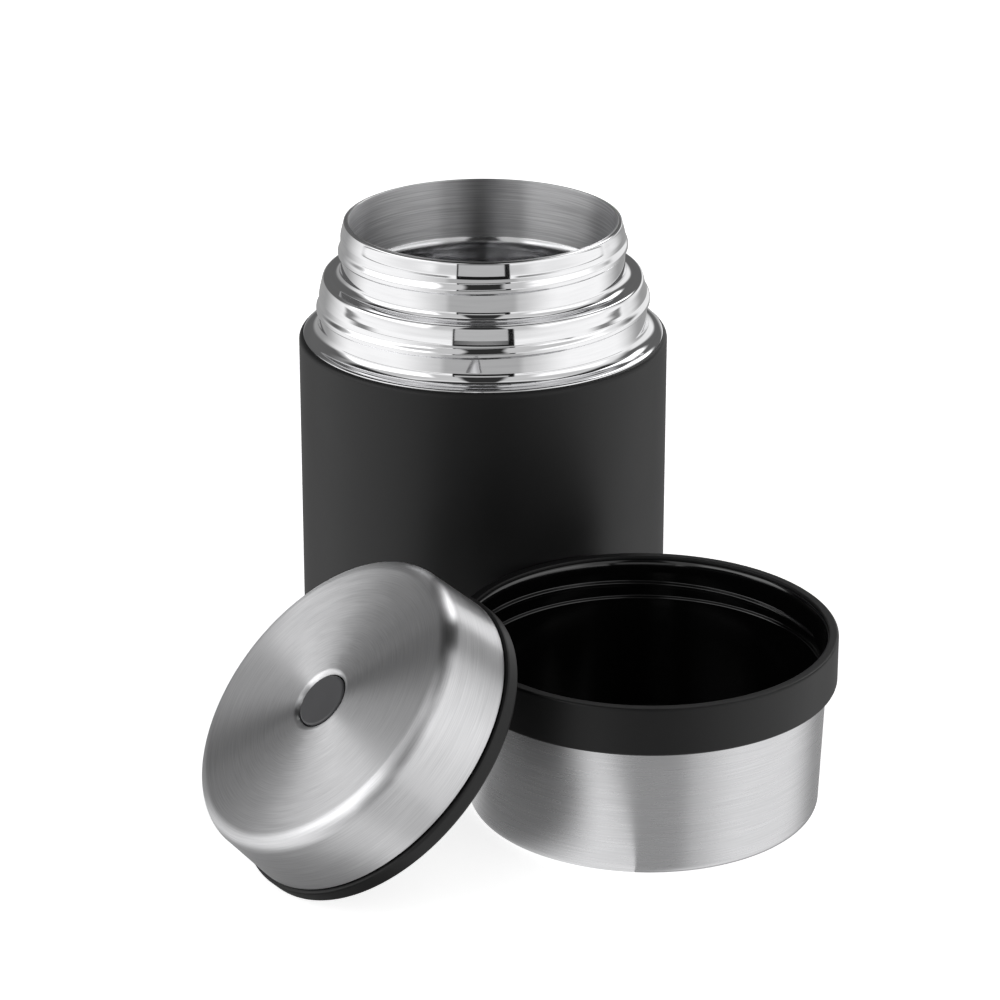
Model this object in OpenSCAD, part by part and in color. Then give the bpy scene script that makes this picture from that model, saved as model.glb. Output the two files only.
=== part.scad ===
// Insulated food jar with a screw-on stopper lid and a screw-on serving cup.
// The jar's axis is Z and the jar stands on Z = 0. The cup stands beside it, mouth up,
// and the lid leans on the cup, as the jar is left when it is opened.

/* [Jar body] */
// Outside diameter of the coated body
body_d = 100; // [96:1:110]
// Height of the coated body, table to shoulder
body_h = 95.3; // [80:0.5:150]
// Sheet thickness of the body
body_wall = 0.6; // [0.5:0.1:0.8]
// Rounding of the shoulder
shoulder_round = 1.5; // [1.4:0.1:3]
// Rounding of the foot
foot_round = 3.5; // [2:0.5:5]

/* [Neck] */
// Step from the body in to the lower neck, which carries the cup
lower_ledge_w = 5.6; // [5.4:0.1:6.4]
// Height of the lower neck
lower_neck_h = 16.2; // [15:0.1:20]
// Step from the lower neck in to the upper neck, which carries the lid
upper_ledge_w = 6; // [5.8:0.1:7]
// Height of the upper neck
upper_neck_h = 15.5; // [15.3:0.1:20]
// Sheet thickness of the neck
neck_wall = 0.6; // [0.4:0.1:0.7]
// Draw-in of the neck towards its lip
lip_draw = 1.2; // [1:0.1:2]
// Height of the drawn-in part under the lip
lip_lead_h = 4.8; // [3:0.1:4.8]
// Flare at the foot of the lower neck
neck_flare = 3; // [2:0.1:3.2]
// Fillet between the ledge and the upper neck
ledge_fillet = 2.2; // [1:0.1:2.4]
// Rounding of the ledge's outer edge
ledge_round = 1.2; // [0.8:0.1:1.4]

/* [Threads] */
// Rise of the lid's thread in one turn
lid_pitch = 4; // [3:0.1:5]
// Height of the lid's rolled ridge over the neck
lid_ridge_h = 0.7; // [0.5:0.05:0.8]
// Rise of the cup's thread in one turn
cup_pitch = 5.5; // [4:0.1:6]
// Height of the cup's rolled ridge over the neck
cup_ridge_h = 0.8; // [0.6:0.05:1]
// Width of a rolled ridge at its foot
ridge_w = 3; // [2.4:0.1:3.6]
// Width of the moulded ribs in the lid and the cup
rib_w = 2.6; // [2:0.1:3]
// Angle that each thread goes round
thread_sweep = 345; // [270:5:350]
// Play between a thread's crest and the wall that it turns on
thread_play = 0.35; // [0.2:0.05:0.4]

/* [Inner vessel] */
// Wall of the vessel
vessel_wall = 0.5; // [0.4:0.1:0.6]
// Length of the straight mouth tube
mouth_tube_h = 16.4; // [15:0.2:19]
// How far the tube is drawn in where its straight part ends
mouth_draw = 0.8; // [0.4:0.1:0.9]
// Vacuum gap between the body and the chamber
vacuum_gap = 6.9; // [5.5:0.1:10]
// Rounding of the chamber's floor edge
chamber_round = 9; // [4:0.5:14]
// Vacuum gap under the chamber's floor
floor_gap = 4.4; // [3.6:0.2:8]

/* [Base] */
// Margin round the cover disc that the jar stands on
base_margin = 11; // [8:0.5:24]
// Thickness of the cover disc
base_cover_t = 1; // [0.8:0.1:1.4]
// How far the cover disc stands below the body's foot
base_cover_proud = 0.4; // [0.2:0.1:0.6]
// Diameter of the evacuation dimple
dimple_d = 12; // [8:0.5:16]

/* [Cup] */
// Height of the cup
cup_h = 47.2; // [44:0.1:60]
// Wall of the liner under the collar
liner_backing = 1.775; // [1.2:0.025:2.4]
// Height of the collar
collar_h = 12.6; // [12:0.1:14]
// Sheet thickness of the steel shell
cup_shell_wall = 0.5; // [0.4:0.1:0.6]
// Wall of the moulded liner
liner_wall = 1.0; // [0.7:0.1:1]
// How much narrower the shell is at its foot, on the radius
cup_taper = 1.2; // [0.4:0.1:2]
// Rounding of the shell's foot
cup_foot_round = 2.2; // [1.5:0.1:4]

/* [Lid] */
// Wall of the lid's black rim
lid_rim_wall = 3.55; // [3.5:0.05:4.1]
// Height of the black rim
lid_rim_h = 4.1; // [3:0.1:5]
// Height of the lid from its seal to its top
lid_crown_h = 9.3; // [6:0.1:10]
// Gap between the rim and the steel cap's edge
cap_gap = 0.5; // [0.3:0.1:1]
// Sheet thickness of the steel cap
cap_wall = 0.5; // [0.4:0.1:0.6]
// How much narrower the cap is at its top, on the radius
cap_taper = 1.1; // [0.6:0.1:1.1]
// Rounding of the cap's top edge
cap_round = 4; // [3:0.1:4.4]
// Gap between the closed lid's rim and the upper ledge
lid_ledge_gap = 1.1; // [0.7:0.1:1.3]
// Thickness of the gasket
gasket_t = 1.5; // [1.2:0.1:1.6]
// How far the plug reaches past the rim
plug_drop = 5.7; // [4:0.1:7]
// Wall of the plug
plug_wall = 1.4; // [1:0.1:2]

/* [Vent] */
// Diameter of the push button
button_d = 14; // [13:0.1:15]
// Travel of the push button
press_travel = 2; // [1:0.1:2]
// Diameter of the valve stem
stem_d = 3.8; // [3.4:0.1:4]
// Wire thickness of the return spring
spring_wire_d = 0.7; // [0.5:0.05:0.8]
// Number of coils of the return spring
spring_coils = 4.5; // [4:0.5:5]

/* [Standing beside the jar] */
// Bearing of the cup from the jar
cup_bearing = -65.25; // [-80:0.25:-50]
// Bearing of the lid from the cup
lid_bearing = -152.5; // [-165:0.5:-140]
// Where the cup's edge meets the plug, as a share of the plug's radius
lean_share = 0.8602; // [0.7:0.0001:0.9]
// Gap between the cup and the jar
stand_gap = 0.4; // [0.3:0.1:1]
// Gap between the lid's plug and the cup
lean_gap = 0.35; // [0.3:0.05:0.8]

/* [Hidden] */

// How far a cut runs past the face that it opens
overrun = 0.2;
// Facets of OpenSCAD's own circles, and steps of the rounded corners and threads
round_fn = 144;
corner_steps = 6;
thread_steps = 56;
spring_steps = 16;
spring_sides = 6;

// Radii and heights of the jar
body_r = body_d / 2;
lower_r = body_r - lower_ledge_w;
upper_r = lower_r - upper_ledge_w;
lip_r = upper_r - lip_draw;
ledge_z = body_h + lower_neck_h;
rim_z = ledge_z + upper_neck_h;
// The sleeve's flange covers the body's shoulder
flange_r = body_r - shoulder_round + neck_wall / 2;
flare_z = body_h + neck_wall + neck_flare;
body_top_r = flange_r - neck_flare;
// Base, from the cover disc up
foot_z = base_cover_proud;
plate_z = foot_z + body_wall;
plate_t = 0.6;
plate_r = body_r - foot_round - body_wall;
dimple_r = dimple_d / 2;
dimple_rise = 1.6;
seal_fill_share = 0.7;
seal_width_share = 0.85;
cover_edge_share = 0.3;
evacuation_hole_r = 1;
cover_r = body_r - base_margin;
cover_play = 0.2;
// Vessel
mouth_out_r = lip_r - neck_wall;
mouth_in_r = mouth_out_r - vessel_wall;
chamber_out_r = body_r - body_wall - vacuum_gap;
chamber_floor_z = plate_z + plate_t + floor_gap;
bend_r = 2;
draw_r = 1.2;
draw_z = rim_z - mouth_tube_h;
draw_drop = sqrt(pow(bend_r + draw_r, 2) - pow(bend_r + draw_r - mouth_draw, 2));
draw_turn = acos((bend_r + draw_r - mouth_draw) / (bend_r + draw_r));
bend_z = draw_z - draw_drop;
throat_r = mouth_out_r - mouth_draw;
crown_r = chamber_out_r - throat_r - bend_r;
crown_z = bend_z - bend_r;
foil_t = 0.15;
foil_margin = 4;
getter_r = 6;
getter_h = 1.8;
getter_place = 18;
getter_bowl_share = 0.75;

// Rolled ridge and moulded rib, as shares of height and of half the width
ridge_shares = [[0.3, -0.86], [0.86, -0.66], [1, -0.42], [1, 0.42], [0.86, 0.66], [0.3, 0.86]];
// Share of the sweep over which a thread runs out, and its height at the ends as a share: a
// rolled ridge fades to a low step and a moulded rib sinks into its wall
runout_share = 0.06;
ridge_end_share = 0.15;
rib_end_share = -0.5;
// How deep each is rooted in its wall
ridge_root_share = 0.42;
rib_root_share = 0.75;
// Half-way heights of the two ridges, and their middle bearing, at the front
lid_ridge_drop_share = 0.2375;
cup_ridge_drop_share = 0.4414;
lid_ridge_z = rim_z - lip_lead_h - ridge_w / 2 - lid_pitch * lid_ridge_drop_share;
cup_ridge_z = ledge_z - lower_neck_h * cup_ridge_drop_share;
ridge_bearing = -90;
// A rib sits under its ridge when the closure is home
rib_drop = (ridge_w + rib_w) / 2;

// Cup, in its own frame: axis Z, standing on Z = 0
collar_wall = 1.5;
collar_flange_t = 1;
collar_flange_w = 2.6;
collar_round = 0.6;
collar_z = cup_h - collar_h;
cup_bore_r = lower_r + cup_ridge_h + (thread_play + collar_round) / 2;
cup_step_r = lower_r + thread_play;
cup_step_h = 0.7;
fit_gap = 0.05;
liner_out_r = cup_bore_r + liner_backing;
collar_r = liner_out_r + fit_gap + collar_wall;
shell_in_r = cup_step_r + liner_wall + fit_gap;
shell_top_r = shell_in_r + cup_shell_wall;
shell_top_z = collar_z + 3 * fit_gap;
shell_foot_r = shell_top_r - cup_taper;
shell_recess_w = 11.9;
shell_recess_r = shell_foot_r - shell_recess_w;
shell_recess_h = 0.8;
liner_floor_gap = 0.7;
liner_floor_t = 1.2;
liner_floor_z = shell_recess_h + cup_shell_wall + liner_floor_gap;
liner_lip_round = 0.8;
// The cup's edge rests this far over the foot of the lower neck
cup_rest_play = 0.1;
cup_rest_lift = neck_wall + cup_rest_play;
// Height of the rib: as far from the cup's edge as its ridge is from the ledge, less the drop
cup_rib_z = cup_h - (cup_ridge_z - rib_drop - body_h - cup_rest_lift);
cup_rib_bearing = 183;

// Lid, in its own frame: axis Z, rim on Z = 0
lid_bore_r = upper_r + lid_ridge_h + thread_play;
lid_rim_r = lid_bore_r + lid_rim_wall;
// The gasket's face is this far up from the rim
seal_depth = upper_neck_h - lid_ledge_gap;
lid_h = seal_depth + lid_crown_h;
rim_round = 0.8;
rim_step = 0.6;
cap_z = lid_rim_h + cap_gap;
cap_inset = 0.9;
cap_foot_r = lid_rim_r - cap_inset;
cap_top_r = cap_foot_r - cap_taper;
cap_top_z = lid_h - cap_round;
cap_play = 0.1;
body_play = 0.3;
skirt_edge = 0.6;
plate_low_z = seal_depth + gasket_t + body_play;
lid_plate_t = 1.3;
plate_top_z = plate_low_z + lid_plate_t;
plug_play = 1.2;
plug_r = mouth_in_r - plug_play;
plug_in_r = plug_r - plug_wall;
plug_round = 1.5;
plug_floor_t = 1.5;
bead_w = 0.7;
bead_h = 1.2;
foam_play = 0.1;
lid_rib_mid = lid_ridge_z - rib_drop - (rim_z - seal_depth);
lid_rib_bearing = 20;

// Vent, in the lid's frame
button_r = button_d / 2;
button_sink = 0.3;
button_top_z = lid_h - button_sink;
button_round = 0.5;
button_skin_t = 1.6;
button_skirt_h = 1.7;
button_skirt_t = 0.9;
button_boss_r = 3;
button_boss_h = 2.2;
button_play = 0.35;
cap_dimple_w = 1.3;
cap_dimple_h = 0.8;
well_play = 0.6;
well_r = button_r + well_play;
well_wall = 1.3;
well_depth = 8;
well_floor_z = lid_h - well_depth;
well_floor_t = 2;
well_top_z = lid_h - cap_wall - cap_dimple_h - cap_play;
stem_r = stem_d / 2;
stem_play = 0.08;
tube_play = 1.1;
tube_r = stem_r + tube_play;
tube_wall = 1.4;
pocket_r = 9;
valve_r = 6.6;
valve_t = 1.2;
valve_lip_t = 0.4;
valve_hub_r = 3.2;
barb_r = 2.9;
barb_h = 0.7;
// The pocket takes the valve and the barb when the button is down
pocket_h = press_travel + valve_t + barb_h;
pocket_z = pocket_h - plug_drop;
valve_z = pocket_z - body_play;
spring_r = 4.5;
spring_low_z = well_floor_z + fit_gap;
spring_high_z = button_top_z - button_skin_t - fit_gap;

// Places of the cup and the lid beside the jar
cup_reach = body_r + stand_gap + collar_r;
cup_x = cup_reach * cos(cup_bearing);
cup_y = cup_reach * sin(cup_bearing);
// The lid stands on its rim's edge and its plug leans on the cup's rounded edge, which gives its
// tilt: lean_up up the lid's face and lean_drop behind it, at the height of the cup's edge
lean_drop = plug_drop + lean_gap + collar_round;
lean_up = lean_share * plug_r + lid_rim_r - rim_round;
lean_back = lean_drop + rim_round;
lean_high = cup_h - collar_round - rim_round;
lid_tilt = asin(lean_high / norm([lean_up, lean_back])) + atan(lean_back / lean_up);
lid_z = (lid_rim_r - rim_round) * sin(lid_tilt) + rim_round * (1 - cos(lid_tilt));
lean_rise = (cup_h - collar_round - lid_z) * cos(lid_tilt);
lid_reach = collar_r - collar_round + (lean_drop + lean_rise) / sin(lid_tilt);
lid_x = cup_x + lid_reach * cos(lid_bearing);
lid_y = cup_y + lid_reach * sin(lid_bearing);

// Points of an arc from angle a0 to a1 about c, for a profile
function arc(c, r, a0, a1) =
    [for (i = [0:corner_steps]) let (a = a0 + (a1 - a0) * i / corner_steps) c + r * [cos(a), sin(a)]];

// Points of an arc that runs straight on from another one
function beyond_first(points) = [for (i = [1:len(points) - 1]) points[i]];

// Turns a profile of [radius, height] points about Z
module turned(points) {
    rotate_extrude($fn = round_fn) polygon(points);
}

// Height of a thread at share s of its sweep, as a share: it runs out at both ends
function thread_height(side, s) =
    let (end = side > 0 ? ridge_end_share : rib_end_share)
    min(1, end + (1 - end) * min(s, 1 - s) / runout_share);

// Section of a thread, anticlockwise in the plane of radius and height.
// side is 1 for a ridge outside a wall and -1 for a rib inside one
function thread_section(side, height, width, share) =
    let (crest = [for (p = ridge_shares) [side * p[0] * height * share, p[1] * width / 2]],
        root_d = -side * height * (side > 0 ? ridge_root_share : rib_root_share),
        loop = concat(crest, [[root_d, width / 2], [root_d, -width / 2]]))
    side > 0 ? loop : [for (i = [len(loop) - 1:-1:0]) loop[i]];

// Triangles that join rings of n points each along a sweep, with both ends closed
function sweep_faces(rings, n) = concat(
    [for (i = [1:n - 2]) [0, i + 1, i]],
    [for (k = [0:rings - 2], i = [0:n - 1]) let (j = (i + 1) % n)
        [k * n + i, k * n + j, (k + 1) * n + j]],
    [for (k = [0:rings - 2], i = [0:n - 1]) let (j = (i + 1) % n)
        [k * n + i, (k + 1) * n + j, (k + 1) * n + i]],
    [for (i = [1:n - 2]) [(rings - 1) * n, (rings - 1) * n + i, (rings - 1) * n + i + 1]]);

// Right-hand helical thread on a wall of radius r, half-way up at mid_z and bearing mid
module thread(r, side, height, width, pitch, mid, mid_z) {
    points = [for (i = [0:thread_steps])
        let (s = i / thread_steps,
            a = mid + thread_sweep * (s - 0.5),
            z = mid_z + pitch * thread_sweep / 360 * (s - 0.5))
        for (p = thread_section(side, height, width, thread_height(side, s)))
            [(r + p[0]) * cos(a), (r + p[0]) * sin(a), z + p[1]]];
    polyhedron(points, sweep_faces(thread_steps + 1, len(ridge_shares) + 2), convexity = 8);
}

// Moves a piece of the cup from the cup's frame to its place beside the jar
module cup_place() {
    translate([cup_x, cup_y, 0]) children();
}

// Moves a piece of the lid from the lid's frame to its place against the cup
module lid_place() {
    translate([lid_x, lid_y, lid_z]) rotate([0, lid_tilt, lid_bearing]) children();
}

// Coated steel tube, turned in at the shoulder and at the foot
module outer_body() {
    top_c = [body_r - shoulder_round, body_h - shoulder_round];
    foot_c = [body_r - foot_round, foot_z + foot_round];
    color("#1d1d1e") turned(concat(
        [[cover_r + cover_play, foot_z]],
        arc(foot_c, foot_round, 270, 360),
        arc(top_c, shoulder_round, 0, 90),
        [[body_top_r, body_h], [body_top_r, body_h - body_wall]],
        arc(top_c, shoulder_round - body_wall, 90, 0),
        arc(foot_c, foot_round - body_wall, 360, 270),
        [[cover_r + cover_play, plate_z]]));
}

// Profile of the polished neck, lip to flange, at a distance w inside its outer face
function neck_profile(w) = concat(
    [[lip_r - w, rim_z], [upper_r - w, rim_z - lip_lead_h]],
    arc([upper_r + ledge_fillet, ledge_z + ledge_fillet], ledge_fillet + w, 180, 270),
    arc([lower_r - ledge_round, ledge_z - ledge_round], ledge_round - w, 90, 0),
    arc([lower_r + neck_flare, flare_z], neck_flare + w, 180, 270));

// Polished steel neck with its two ledges and its two rolled threads
module neck_sleeve() {
    outside = neck_profile(0);
    inside = neck_profile(neck_wall);
    color("#d9dadc") {
        union() {
            turned(concat(
                [for (i = [len(outside) - 1:-1:0]) outside[i]],
                inside,
                [[flange_r, body_h], [flange_r, body_h + neck_wall / 2]]));
            thread(upper_r, 1, lid_ridge_h, ridge_w, lid_pitch, ridge_bearing, lid_ridge_z);
            thread(lower_r, 1, cup_ridge_h, ridge_w, cup_pitch, ridge_bearing, cup_ridge_z);
        }
    }
}

// Profile of the vessel from its lip down to the middle of its floor, w inside its outer face
function vessel_profile(w) = concat(
    [[mouth_out_r - w, rim_z]],
    arc([mouth_out_r - draw_r, draw_z], draw_r - w, 0, -draw_turn),
    beyond_first(arc([throat_r + bend_r, bend_z], bend_r + w, 180 - draw_turn, 270)),
    arc([chamber_out_r - crown_r, crown_z - crown_r], crown_r - w, 90, 0),
    arc([chamber_out_r - chamber_round, chamber_floor_z + chamber_round], chamber_round - w, 360, 270),
    [[0, chamber_floor_z + w]]);

// Spun steel vessel: straight mouth tube, wider chamber, rounded floor
module inner_vessel() {
    inside = vessel_profile(vessel_wall);
    color("#b9babc") turned(concat(
        vessel_profile(0),
        [for (i = [len(inside) - 1:-1:0]) inside[i]]));
}

// Copper foil wrapped round the chamber, which keeps radiant heat in
module heat_foil() {
    low_z = chamber_floor_z + chamber_round + foil_margin;
    high_z = crown_z - crown_r - foil_margin;
    color("#b8734a") turned([[chamber_out_r, low_z], [chamber_out_r + foil_t, low_z],
        [chamber_out_r + foil_t, high_z], [chamber_out_r, high_z]]);
}

// Getter in its steel cup, fixed under the vessel's floor
module getter() {
    ring_r = getter_r * getter_bowl_share;
    color("#8a8c8e") translate([getter_place, 0, chamber_floor_z - getter_h]) difference() {
        cylinder(h = getter_h, r = getter_r, $fn = round_fn / 2);
        translate([0, 0, -fit_gap]) cylinder(h = getter_h / 3, r = ring_r, $fn = round_fn / 2);
    }
}

// Steel base plate welded into the body, with the evacuation dimple and its hole
module outer_base() {
    roof_z = plate_z + plate_t + dimple_rise;
    color("#9a9c9e") turned([
        [evacuation_hole_r, roof_z - plate_t], [dimple_r, roof_z - plate_t],
        [dimple_r, plate_z], [plate_r, plate_z],
        [plate_r, plate_z + plate_t], [dimple_r + plate_t, plate_z + plate_t],
        [dimple_r + plate_t, roof_z], [evacuation_hole_r, roof_z]]);
}

// Solder pellet that closes the evacuation hole from below
module vacuum_seal() {
    roof_z = plate_z + plate_t + dimple_rise;
    pellet_t = dimple_rise * seal_fill_share;
    color("#77797c") translate([0, 0, roof_z - plate_t - pellet_t])
        cylinder(h = pellet_t, r = dimple_r * seal_width_share, $fn = round_fn / 2);
}

// Disc that covers the seal; the jar stands on it
module base_cover() {
    edge = base_cover_t * cover_edge_share;
    color("#2a2a2b") turned([[0, 0], [cover_r - edge, 0], [cover_r, edge],
        [cover_r, base_cover_t], [0, base_cover_t]]);
}

// Brushed steel shell of the cup, with a rounded foot and a recessed base
module cup_shell() {
    foot_c = [shell_foot_r - cup_foot_round, cup_foot_round];
    color("#c4c5c7") cup_place() turned(concat(
        [[0, shell_recess_h], [shell_recess_r, shell_recess_h],
            [shell_recess_r + 2 * shell_recess_h, 0]],
        arc(foot_c, cup_foot_round, 270, 360),
        [[shell_top_r, shell_top_z], [shell_top_r - cup_shell_wall, shell_top_z]],
        arc(foot_c, cup_foot_round - cup_shell_wall, 360, 270),
        [[shell_recess_r + 2 * shell_recess_h, cup_shell_wall],
            [shell_recess_r, shell_recess_h + cup_shell_wall],
            [0, shell_recess_h + cup_shell_wall]]));
}

// Gloss moulded liner of the cup. Its inside is cut by one cavity, from which the rib is left out:
// rounded lip, bore with the inner thread, step and tapered bowl
module cup_liner() {
    out_foot_r = shell_foot_r - cup_shell_wall - fit_gap;
    out_round = cup_foot_round + liner_wall;
    in_foot_r = out_foot_r - liner_wall;
    floor_top_z = liner_floor_z + liner_floor_t;
    lip_z = cup_h - collar_flange_t - fit_gap;
    color("#0b0b0c") cup_place() difference() {
        turned(concat(
            [[0, liner_floor_z]],
            arc([out_foot_r - out_round, liner_floor_z + out_round], out_round, 270, 360),
            [[shell_in_r - fit_gap, shell_top_z + fit_gap],
                [liner_out_r, shell_top_z + fit_gap],
                [liner_out_r, lip_z], [0, lip_z]]));
        difference() {
            turned(concat(
                [[0, floor_top_z]],
                arc([in_foot_r - out_round, floor_top_z + out_round], out_round, 270, 360),
                [[cup_step_r, shell_top_z + cup_step_h],
                    [cup_bore_r, shell_top_z + 2 * cup_step_h]],
                arc([cup_bore_r + liner_lip_round, lip_z - liner_lip_round], liner_lip_round, 180, 90),
                [[cup_bore_r + liner_lip_round, lip_z + overrun], [0, lip_z + overrun]]));
            thread(cup_bore_r, -1, cup_bore_r - cup_step_r, rib_w, cup_pitch, cup_rib_bearing, cup_rib_z);
        }
    }
}

// Matt collar round the cup's edge, with a flat top flange over the liner
module cup_collar() {
    in_r = collar_r - collar_wall;
    flange_in_r = collar_r - collar_flange_w;
    top_c = [collar_r - collar_round, cup_h - collar_round];
    low_c = [collar_r - collar_round, collar_z + collar_round];
    color("#2b2b2c") cup_place() turned(concat(
        [[in_r, collar_z]],
        arc(low_c, collar_round, 270, 360),
        arc(top_c, collar_round, 0, 90),
        [[flange_in_r + fit_gap * 4, cup_h], [flange_in_r, cup_h - fit_gap * 4],
            [flange_in_r, cup_h - collar_flange_t],
            [in_r, cup_h - collar_flange_t]]));
}

// Profile of the steel cap from its foot to the button's dimple, w inside its outer face
function cap_profile(w) = concat(
    [[cap_foot_r - w, cap_z]],
    arc([cap_top_r - cap_round, cap_top_z], cap_round - w, 0, 90),
    [[button_r + button_play + cap_dimple_w, lid_h - w],
        [button_r + button_play + cap_dimple_w / 2, lid_h - w - cap_dimple_h / 3],
        [button_r + button_play, lid_h - w - cap_dimple_h]]);

// Brushed steel cap of the lid, with a dimple and a hole for the button
module lid_cap() {
    inside = cap_profile(cap_wall);
    color("#cccdcf") lid_place() turned(concat(
        cap_profile(0),
        [for (i = [len(inside) - 1:-1:0]) inside[i]]));
}

// Moulded body of the lid: black rim, sealing plate and the button's well. One cavity is cut
// from below, from which the inner thread and the well are left out
module lid_body() {
    skirt_foot_r = cap_foot_r - cap_wall - cap_play;
    skirt_high_z = min(cap_top_z, plate_top_z - skirt_edge);
    skirt_high_r = skirt_foot_r - cap_taper * (skirt_high_z - cap_z) / (cap_top_z - cap_z);
    top_edge = plate_top_z - skirt_high_z;
    well_under_z = well_floor_z - well_floor_t;
    color("#232324") lid_place() difference() {
        turned(concat(
            [[0, 0]],
            arc([lid_rim_r - rim_round, rim_round], rim_round, 270, 360),
            [[lid_rim_r, lid_rim_h - rim_step],
                [lid_rim_r - rim_step, lid_rim_h],
                [skirt_foot_r, lid_rim_h],
                [skirt_high_r, skirt_high_z],
                [skirt_high_r - top_edge, plate_top_z],
                [well_r + well_wall, plate_top_z],
                [well_r + well_wall, well_top_z],
                [0, well_top_z]]));
        difference() {
            turned([[0, -overrun], [lid_bore_r + rim_round + overrun, -overrun],
                [lid_bore_r, rim_round], [lid_bore_r, plate_low_z],
                [well_r + well_wall, plate_low_z],
                [well_r + well_wall, well_under_z], [0, well_under_z]]);
            thread(lid_bore_r, -1, lid_ridge_h, rib_w, lid_pitch, lid_rib_bearing, lid_rib_mid);
        }
        turned([[0, well_under_z - overrun], [stem_r + stem_play, well_under_z - overrun],
            [stem_r + stem_play, well_floor_z], [well_r, well_floor_z],
            [well_r, well_top_z + overrun], [0, well_top_z + overrun]]);
    }
}

// Moulded plug that goes into the jar's mouth, with the valve's pocket and the stem's tube
module plug_cup() {
    floor_z = plug_floor_t - plug_drop;
    roof_z = pocket_z + plug_floor_t;
    bead_z = seal_depth - body_play;
    color("#2c2c2d") lid_place() turned(concat(
        [[tube_r, well_floor_z - well_floor_t], [tube_r, pocket_z],
            [pocket_r, pocket_z], [pocket_r, -plug_drop]],
        arc([plug_r - plug_round, plug_round - plug_drop], plug_round, 270, 360),
        [[plug_r, bead_z - bead_h], [plug_r + bead_w, bead_z - bead_h / 2],
            [plug_r + bead_w, bead_z - bead_h / 4], [plug_r, bead_z],
            [plug_r, plate_low_z], [plug_in_r, plate_low_z],
            [plug_in_r, floor_z], [pocket_r + plug_wall, floor_z],
            [pocket_r + plug_wall, roof_z], [tube_r + tube_wall, roof_z],
            [tube_r + tube_wall, well_floor_z - well_floor_t]]));
}

// Foam ring that fills the plug
module lid_insulation() {
    floor_z = plug_floor_t - plug_drop + foam_play;
    roof_z = pocket_z + plug_floor_t + foam_play;
    under_well_z = well_floor_z - well_floor_t - foam_play;
    color("#d8d2c0") lid_place() turned([
        [pocket_r + plug_wall + foam_play, floor_z],
        [plug_in_r - foam_play, floor_z],
        [plug_in_r - foam_play, plate_low_z - foam_play],
        [well_r + well_wall + foam_play, plate_low_z - foam_play],
        [well_r + well_wall + foam_play, under_well_z],
        [tube_r + tube_wall + foam_play, under_well_z],
        [tube_r + tube_wall + foam_play, roof_z],
        [pocket_r + plug_wall + foam_play, roof_z]]);
}

// Silicone ring that the jar's lip presses on, held up by the plug's bead
module lid_gasket() {
    in_r = plug_r + body_play;
    out_r = lid_bore_r - body_play;
    lip = gasket_t / 4;
    color("#a9aaac") lid_place() turned([
        [in_r, seal_depth + lip], [in_r + lip, seal_depth],
        [out_r - lip, seal_depth], [out_r, seal_depth + lip],
        [out_r, seal_depth + gasket_t], [in_r, seal_depth + gasket_t]]);
}

// Push button: skirted cap with a socket for the stem
module vent_button() {
    skin_z = button_top_z - button_skin_t;
    socket_z = skin_z + button_skin_t / 4;
    color("#4c4d4f") lid_place() turned(concat(
        [[0, socket_z], [stem_r, socket_z], [stem_r, skin_z - button_boss_h],
            [button_boss_r, skin_z - button_boss_h], [button_boss_r, skin_z],
            [button_r - button_skirt_t, skin_z],
            [button_r - button_skirt_t, skin_z - button_skirt_h],
            [button_r, skin_z - button_skirt_h]],
        arc([button_r - button_round, button_top_z - button_round], button_round, 0, 90),
        [[0, button_top_z]]));
}

// Stem from the button's socket down to the barb that holds the valve
module vent_stem() {
    top_z = button_top_z - button_skin_t * 3 / 4;
    barb_z = valve_z - valve_t;
    color("#e4e4e2") lid_place() turned([
        [0, barb_z - barb_h], [stem_r, barb_z - barb_h], [barb_r, barb_z - barb_h / 3],
        [barb_r, barb_z], [stem_r, barb_z], [stem_r, top_z], [0, top_z]]);
}

// Compression spring round the button's boss, on the floor of the well
module vent_spring() {
    wire_r = spring_wire_d / 2;
    climb = spring_high_z - spring_low_z - spring_wire_d;
    rings = spring_steps * spring_coils;
    coil_gap = climb / spring_coils - spring_wire_d;
    echo(spring_coil_gap = coil_gap);
    points = [for (k = [0:rings])
        let (a = 360 * k / spring_steps, z = spring_low_z + wire_r + climb * k / rings)
        for (i = [0:spring_sides - 1])
            let (b = 360 * i / spring_sides, q = spring_r + wire_r * cos(b))
            [q * cos(a), q * sin(a), z + wire_r * sin(b)]];
    color("#b5b7ba") lid_place()
        polyhedron(points, sweep_faces(rings + 1, spring_sides), convexity = 8);
}

// Silicone valve disc on the stem, which closes the tube from below
module vent_valve() {
    color("#9fa0a2") lid_place() turned([
        [stem_r, valve_z - valve_t], [valve_hub_r, valve_z - valve_t],
        [valve_r, valve_z - valve_lip_t], [valve_r, valve_z], [stem_r, valve_z]]);
}

outer_body();
neck_sleeve();
inner_vessel();
heat_foil();
getter();
outer_base();
vacuum_seal();
base_cover();
cup_shell();
cup_liner();
cup_collar();
lid_cap();
lid_body();
plug_cup();
lid_insulation();
lid_gasket();
vent_button();
vent_stem();
vent_spring();
vent_valve();
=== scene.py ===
import math

import bmesh
import bpy
from mathutils import Matrix, Vector


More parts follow.
